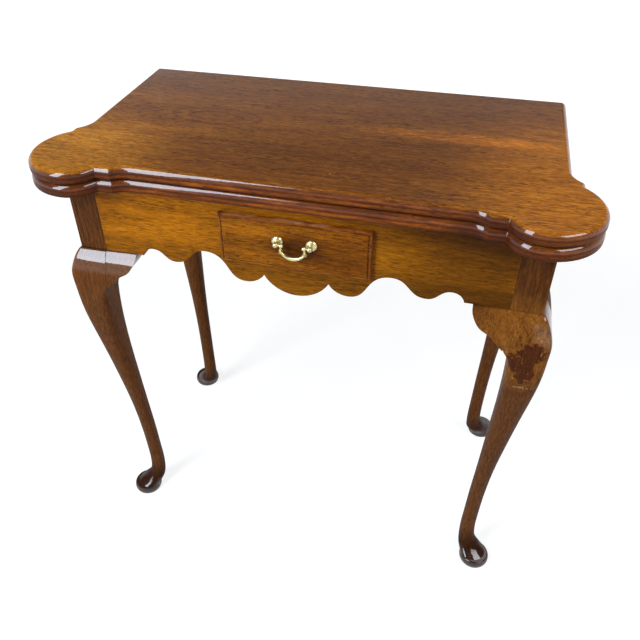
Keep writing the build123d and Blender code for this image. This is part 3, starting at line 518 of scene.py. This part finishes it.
def drawer_marks(g, colour, roughness, gloss):
    """A pink rubbed moulding with a painted highlight on its upper lip, a chipped corner, painted shade in
    the quirk, a painted shadow round the pull and a flame low on the right.
    """
    x, y, _ = g.split(g.place)
    for centre, radii, strength, factor in FACE_TONES:
        colour = g.lift(colour, g.spot(centre, radii, 0.6, 0.15, 24.0), strength, factor)
    # painted shadow round the pull's rosettes and bail
    pull_shadow = g.spot((5.0, -156.4, 641.0), (38.0, 12.0, 19.0), 0.7)
    colour = g.lift(colour, pull_shadow, 0.9, (0.34, 0.26, 0.24))
    colour = g.lift(colour, g.span(x, -30.0, 90.0), 0.7, (0.72, 0.60, 0.55))
    flame = g.flame((34.0, -156.0, 616.0), (52.0, 1000.0, 14.0), 60.0, 0.3, 3.0, 0.5, (1.4, 1.0))
    colour = g.lift(colour, flame, 0.4, (0.6, 0.5, 0.5))

    # everything that lies behind the face is moulding
    moulding = g.math("SUBTRACT", 1.0, g.span(y, *(DRAWER_FACE + depth for depth in FACE_DEPTHS)))
    rubbed = g.streaks(g.place, (26.0, 220.0, 220.0), 4.0, 0.6)
    tone = g.stops(rubbed, (0.35, rgb(98, 44, 12)), (0.5, rgb(124, 64, 22)), (0.68, rgb(162, 98, 52)))
    colour = g.cover(colour, moulding, 0.8, tone)
    # partly wear and partly painted highlight: a pale band along the upper lip, where its round catches the
    # light
    upper_edge = g.spot((-20.0, -154.0, 681.0), (90.0, 8.0, 3.0), 0.5, 0.5, 160.0)
    rub_and_highlight = g.fit(g.streaks(g.place, (40.0, 200.0, 200.0), 4.0, 0.6), 0.40, 0.60)
    colour = g.cover(colour, g.both(upper_edge, rub_and_highlight), 0.7, rgb(196, 140, 108))
    # painted shade in the quirk behind the lip
    quirk = g.spot((0.0, -153.8, 644.0), (102.0, 1.6, 35.0), 0.03)
    colour = g.cover(colour, quirk, 0.3, rgb(60, 20, 6))
    corner = g.spot((-105.0, -154.5, 679.0), (6.0, 9.0, 5.0), 0.5, 0.5, 300.0)
    colour = g.cover(colour, corner, 0.8, rgb(60, 24, 8))
    chip = g.spot((-101.0, -155.5, 681.6), (6.0, 6.0, 1.6), 0.4, 0.5, 300.0)
    colour = g.cover(colour, chip, 0.7, rgb(206, 160, 120))
    return colour, roughness, gloss


paint(
    "front_rail",
    wood(
        "front_rail_gold",
        "x",
        RAIL_TONES,
        8,
        pith=(-240.0, 640.0),
        ring=7.0,
        figure=0.5,
        pore_depth=0.5,
        gloss=0.06,
        shine=0.03,
        marks=apron_marks,
    ),
)
paint(
    "drawer_front",
    wood(
        "drawer_front_wood",
        "x",
        FRONT_TONES,
        13,
        pith=(-166.0, 606.0),
        tilt=(0.02, 0.12),
        ring=8.0,
        gloss=0.07,
        shine=0.03,
        marks=drawer_marks,
    ),
)
for k, name in enumerate(("left_side_rail", "right_side_rail")):
    paint(name, wood(name + "_wood", "y", RAIL_TONES, 21 + k, ring=7.0))


# Legs and knee blocks


def post_and_foot(g, colour, z):
    """A darker square post with upright streaks, and a foot dark with wax and dirt."""
    post = g.span(z, KNEE_TOP - 1.0, KNEE_TOP + 1.0)
    lines = g.both(post, g.fit(g.streaks(g.place, (330.0, 330.0, 16.0), 4.0, 0.6), 0.45, 0.57))
    colour = g.lift(colour, post, 0.7, (0.88, 0.84, 0.62))
    colour = g.lift(colour, lines, 0.8, (0.5, 0.45, 0.45))
    return g.lift(colour, g.span(z, 75.0, 20.0), 0.9, (0.20, 0.15, 0.2))


def worn_knee(g, colour, roughness, polish):
    """The right front knee: rubbed golden, scraped, with a red-brown patch of the old finish."""
    grit = g.streaks(g.place, (200.0, 200.0, 55.0), 5.0, 0.7)
    gold = g.stops(grit, (0.3, rgb(92, 50, 12)), (0.5, rgb(122, 72, 20)), (0.7, rgb(146, 92, 32)))
    rubbed = g.spot((312.0, -160.0, 535.0), (66.0, 60.0, 70.0), 0.3, 0.15, 30.0)
    colour = g.cover(colour, rubbed, 0.65, gold)

    film = g.stops(grit, (0.3, rgb(46, 15, 3)), (0.6, rgb(72, 30, 6)))
    patch = g.spot((328.0, -168.0, 530.0), (16.0, 30.0, 19.0), 0.1, 1.0, 130.0)
    patch = g.either(patch, g.spot((325.0, -165.0, 502.0), (12.0, 30.0, 29.0), 0.1, 1.1, 130.0))
    patch = g.either(patch, g.spot((308.0, -165.0, 513.0), (11.0, 30.0, 16.0), 0.1, 1.3, 150.0))
    colour = g.cover(colour, patch, 0.92, film)

    scraped = g.spot((335.0, -160.0, 520.0), (52.0, 60.0, 62.0), 0.3, 0.3, 40.0)
    stripe = g.streaks(g.place, (150.0, 150.0, 60.0), 5.0, 0.75)
    scrape = g.both(g.fit(stripe, 0.55, 0.60), scraped)
    colour = g.cover(colour, scrape, 0.7, rgb(66, 28, 6))
    colour = g.cover(colour, g.both(g.fit(stripe, 0.42, 0.37), scraped), 0.5, rgb(176, 120, 48))

    scuff = g.spot((326.0, -166.0, 466.0), (19.0, 20.0, 1.8), 0.4, 0.6, 200.0)
    scuff = g.both(scuff, g.fit(grit, 0.42, 0.52))
    nicks = g.spot((305.0, -170.0, 583.0), (34.0, 20.0, 1.6), 0.3)
    scuff = g.either(scuff, g.both(nicks, g.fit(grit, 0.52, 0.6)))
    colour = g.cover(colour, scuff, 0.35, rgb(200, 168, 130))
    roughness = g.math("MULTIPLY_ADD", g.either(scrape, scuff), 0.2, roughness)
    shoulder = g.spot((350.0, -150.0, 568.0), (26.0, 44.0, 24.0), 0.3)
    return colour, roughness, g.either(polish, shoulder)


def leg_marks(name):
    """Polished feet and painted shade on edges turning from view, with the post, the shining left knees or
    the worn right one.
    """

    def marks(g, colour, roughness, gloss):
        z = g.split(g.place)[2]
        if name.endswith("leg"):
            colour = post_and_foot(g, colour, z)
        facing = g.add("ShaderNodeLayerWeight").outputs["Facing"]
        # painted shade: the surface darkens towards the silhouette, where it turns away from view
        colour = g.lift(colour, g.fit(facing, 0.5, 0.95), 0.6, (0.42, 0.34, 0.30))
        polish = g.span(z, 30.0, 18.0, gloss, 1.0)
        polish = g.both(polish, g.fit(facing, 0.55, 0.8, 1.0, 0.1))
        colour = g.lift(colour, g.band(z, KNEE_TOP, 0.3, 1.6), 0.7, (0.3, 0.25, 0.25))
        if "left" in name:
            knee = g.both(g.span(z, 548.0, 558.0), g.span(z, KNEE_TOP, KNEE_TOP - 0.5))
            polish = g.either(polish, knee)
            rust = g.spot((-335.0, -165.0, 545.0), (40.0, 50.0, 24.0), 0.6, 0.2, 30.0)
            colour = g.lift(colour, rust, 0.35, (1.3, 1.0, 0.8))
        if name.startswith("front_right"):
            colour, roughness, polish = worn_knee(g, colour, roughness, polish)
        return colour, roughness, polish

    return marks


LEG_LOOK = dict(
    figure=0.25,
    ring_depth=0.05,
    pore_depth=0.45,
    gloss=0.07,
    shine=0.03,
    coat_rough=0.04,
    peel=0.4,
)
LEGS = ("front_left_leg", "front_right_leg", "rear_left_leg", "gate_leg")
KNEE_BLOCKS = (
    "front_left_knee_block",
    "front_right_knee_block",
    "left_side_knee_block",
    "right_side_knee_block",
    "rear_left_knee_block",
    "gate_knee_block",
)
for names, first_seed in ((LEGS, 31), (KNEE_BLOCKS, 41)):
    for k, name in enumerate(names):
        finish = wood(name + "_wood", "z", LEG_TONES, first_seed + k, marks=leg_marks(name), **LEG_LOOK)
        paint(name, finish)


# Hidden and inner woods

for k, name in enumerate(("inner_back_rail", "fixed_outer_rail", "fly_rail")):
    paint(name, wood(name + "_wood", "x", BACK_TONES, 51 + k, gloss=0.3, rough=0.5))

# bare pale wood, each with the axis of its grain
PALE_PIECES = (
    ("drawer_left_side", "y"),
    ("drawer_right_side", "y"),
    ("drawer_back", "x"),
    ("drawer_bottom", "x"),
    ("left_drawer_runner", "y"),
    ("right_drawer_runner", "y"),
    ("left_drawer_kicker", "y"),
    ("right_drawer_kicker", "y"),
    ("left_cleat", "y"),
    ("right_cleat", "y"),
)
for k, (name, grain) in enumerate(PALE_PIECES):
    paint(name, wood(name + "_wood", grain, PALE_TONES, 61 + k, gloss=0.0, rough=0.62))
paint("gate_pin", wood("gate_pin_wood", "z", PALE_TONES, 75, gloss=0.0, rough=0.6))


# Metals

# seeds step through the noise in metres
METAL_STEP = Vector((1.0, 0.37, 0.61))
TARNISH = 0.7
TARNISH_ROUGHNESS = 0.35
SPECKLE_ROUGHNESS = 0.06
SPECKLE_HEIGHT = 0.3
METAL_RELIEF = 0.3


def metal(name, bright, dull, rough, seed):
    """Handled metal: polished where it is rubbed, duller in patches."""
    g = Graph(name)
    place = g.vector("ADD", g.place, seed * METAL_STEP)
    patch = g.noise(place, 330.0, 4.0, 0.6)
    speckle = g.noise(place, 1400.0, 3.0, 0.6)
    worn = g.both(g.fit(patch, 0.45, 0.72), TARNISH)
    roughness = g.math("MULTIPLY_ADD", worn, TARNISH_ROUGHNESS, rough)
    roughness = g.math("MULTIPLY_ADD", speckle, SPECKLE_ROUGHNESS, roughness)
    height = g.math("MULTIPLY_ADD", speckle, SPECKLE_HEIGHT, patch)
    g.shade(
        g.mix(worn, bright, dull),
        Metallic=1.0,
        Roughness=roughness,
        Normal=g.bump(height, METAL_RELIEF * MM, 0.25),
    )
    return g.material


METALS = (
    (
        metal("pull_brass", rgb(214, 202, 150), rgb(104, 92, 50), 0.26, 1.0),
        ("pull_rosettes", "left_pull_post", "right_pull_post", "bail", "pull_nuts"),
    ),
    (
        metal("hinge_brass", rgb(196, 160, 92), rgb(96, 70, 34), 0.3, 2.0),
        (
            "left_hinge_lower_plate",
            "left_hinge_upper_plate",
            "right_hinge_lower_plate",
            "right_hinge_upper_plate",
            "hinge_pins",
            "lower_hinge_screws",
            "upper_hinge_screws",
        ),
    ),
    (
        metal("screw_steel", rgb(120, 112, 104), rgb(70, 52, 40), 0.4, 3.0),
        ("top_screws", "outer_rail_screws"),
    ),
)
for finish, names in METALS:
    for name in names:
        paint(name, finish)


# Studio, in metres

FLOOR_REACH = 40.0
# distances from the middle between which the floor's glow rises, each with its glow
FLOOR_WHITE = ((0.9, 0.76), (2.4, 0.98))
FLOOR_SHOWN = (0.30, 0.30, 0.30)
FLOOR_LIGHT = ((0.50, 0.50, 0.50), (0.54, 0.54, 0.54))
SKY_TINT = (0.97, 0.98, 1.03)
# brightness of the sky from straight down to straight up
SKY = ((0.0, 0.9), (0.20, 0.85), (0.34, 0.30), (0.43, 0.10), (0.56, 0.08), (0.75, 0.2), (1.0, 0.25))


def make_floor():
    """A pale floor, white to the camera and to reflections beyond the object's shadow."""
    low, high = -FLOOR_REACH, FLOOR_REACH
    corners = [(low, low, 0), (high, low, 0), (high, high, 0), (low, high, 0)]
    mesh = bpy.data.meshes.new("floor")
    mesh.from_pydata(corners, [], [(0, 1, 2, 3)])
    floor = bpy.data.objects.new("floor", mesh)
    bpy.context.scene.collection.objects.link(floor)

    g = Graph("floor_paper")
    seen = g.add("ShaderNodeLightPath").outputs
    mirrored = g.either(seen["Is Glossy Ray"], seen["Is Transmission Ray"])
    direct = g.either(seen["Is Camera Ray"], mirrored)
    (near, near_glow), (far, far_glow) = FLOOR_WHITE
    glow = g.fit(g.vector("LENGTH", g.place), near, far, near_glow, far_glow)
    pale = g.mix(g.noise(g.place, 2.0, 2.0, 0.5), *FLOOR_LIGHT)
    g.shade(
        g.mix(direct, pale, FLOOR_SHOWN),
        Roughness=0.9,
        Specular_IOR_Level=0.0,
        Emission_Color=(1.0, 1.0, 1.0, 1.0),
        Emission_Strength=g.both(direct, glow),
    )
    floor.data.materials.append(g.material)


def make_sky():
    """A plain sky: white below the horizon, dim above it, so that the varnish stays dark."""
    world = bpy.data.worlds.new("studio")
    bpy.context.scene.world = world
    world.use_nodes = True
    tree = world.node_tree
    tree.nodes.clear()
    coordinate = tree.nodes.new("ShaderNodeTexCoord")
    parts = tree.nodes.new("ShaderNodeSeparateXYZ")
    tree.links.new(coordinate.outputs["Generated"], parts.inputs[0])
    ramp = tree.nodes.new("ShaderNodeValToRGB")
    elements = ramp.color_ramp.elements
    elements[0].position, elements[1].position = SKY[0][0], SKY[-1][0]
    for position, _ in SKY[1:-1]:
        elements.new(position)
    for element, (_, level) in zip(elements, SKY):
        element.color = (*(level * tint for tint in SKY_TINT), 1)
    tree.links.new(parts.outputs[2], ramp.inputs[0])
    background = tree.nodes.new("ShaderNodeBackground")
    tree.links.new(ramp.outputs[0], background.inputs[0])
    out = tree.nodes.new("ShaderNodeOutputWorld")
    tree.links.new(background.outputs[0], out.inputs[0])


def softbox(name, place, target, width, height, radiance, colour):
    """A rectangular studio light aimed at a point, as bright as its face should look."""
    lamp = bpy.data.lights.new(name, "AREA")
    lamp.shape = "RECTANGLE"
    lamp.size = width
    lamp.size_y = height
    lamp.energy = radiance * pi * width * height
    lamp.color = colour
    holder = bpy.data.objects.new(name, lamp)
    bpy.context.scene.collection.objects.link(holder)
    holder.location = place
    aim = Vector(target) - Vector(place)
    holder.rotation_mode = "QUATERNION"
    holder.rotation_quaternion = aim.to_track_quat("-Z", "Y")


make_floor()
make_sky()
# name, place, target, width, height, radiance, colour
softbox("window_left", (-1.28, -1.7, 1.84), (0, 0, 0.6), 0.95, 2.2, 13.6, (0.82, 0.94, 1.08))
softbox("window_right", (1.85, -0.95, 2.3), (0, 0, 0.65), 1.6, 0.85, 9.5, (0.95, 0.97, 1.0))
softbox("panel_back", (0.5, 2.3, 2.9), (0, 0, 0.5), 1.4, 1.0, 2.5, (1.0, 1.0, 1.0))
softbox("panel_left", (-1.5, 2.3, 1.1), (0, 0.1, 0.6), 1.6, 0.9, 0.35, (0.80, 0.90, 1.0))


# Camera, in metres and radians, with the lens and its sensor in millimetres

CAMERA_PLACE = Vector((0.21331, -0.88336, 1.14812))
CAMERA_YAW = 0.2671
CAMERA_DOWN = 0.6664
CAMERA_ROLL = -0.0144
SENSOR_WIDTH = 36.0
FOCAL_LENGTH = 38.224
CROP_SHIFT = (0.0240, -0.0325)


def make_camera():
    """The camera at the photograph's place; the shift is the photograph's crop."""
    lens = bpy.data.cameras.new("camera")
    lens.sensor_width = SENSOR_WIDTH
    lens.lens = FOCAL_LENGTH
    lens.shift_x, lens.shift_y = CROP_SHIFT
    lens.clip_start = 0.05
    lens.clip_end = 200.0
    lens.dof.use_dof = False
    camera = bpy.data.objects.new("camera", lens)
    bpy.context.scene.collection.objects.link(camera)
    level = cos(CAMERA_DOWN)
    forward = Vector((-sin(CAMERA_YAW) * level, cos(CAMERA_YAW) * level, -sin(CAMERA_DOWN)))
    right = Vector((cos(CAMERA_YAW), sin(CAMERA_YAW), 0.0))
    upward = right.cross(forward)
    side = cos(CAMERA_ROLL) * right + sin(CAMERA_ROLL) * upward
    top = -sin(CAMERA_ROLL) * right + cos(CAMERA_ROLL) * upward
    turn = Matrix((side, top, -forward)).transposed()
    camera.matrix_world = Matrix.Translation(CAMERA_PLACE) @ turn.to_4x4()
    bpy.context.scene.camera = camera


make_camera()
bpy.context.scene.view_settings.view_transform = "Standard"
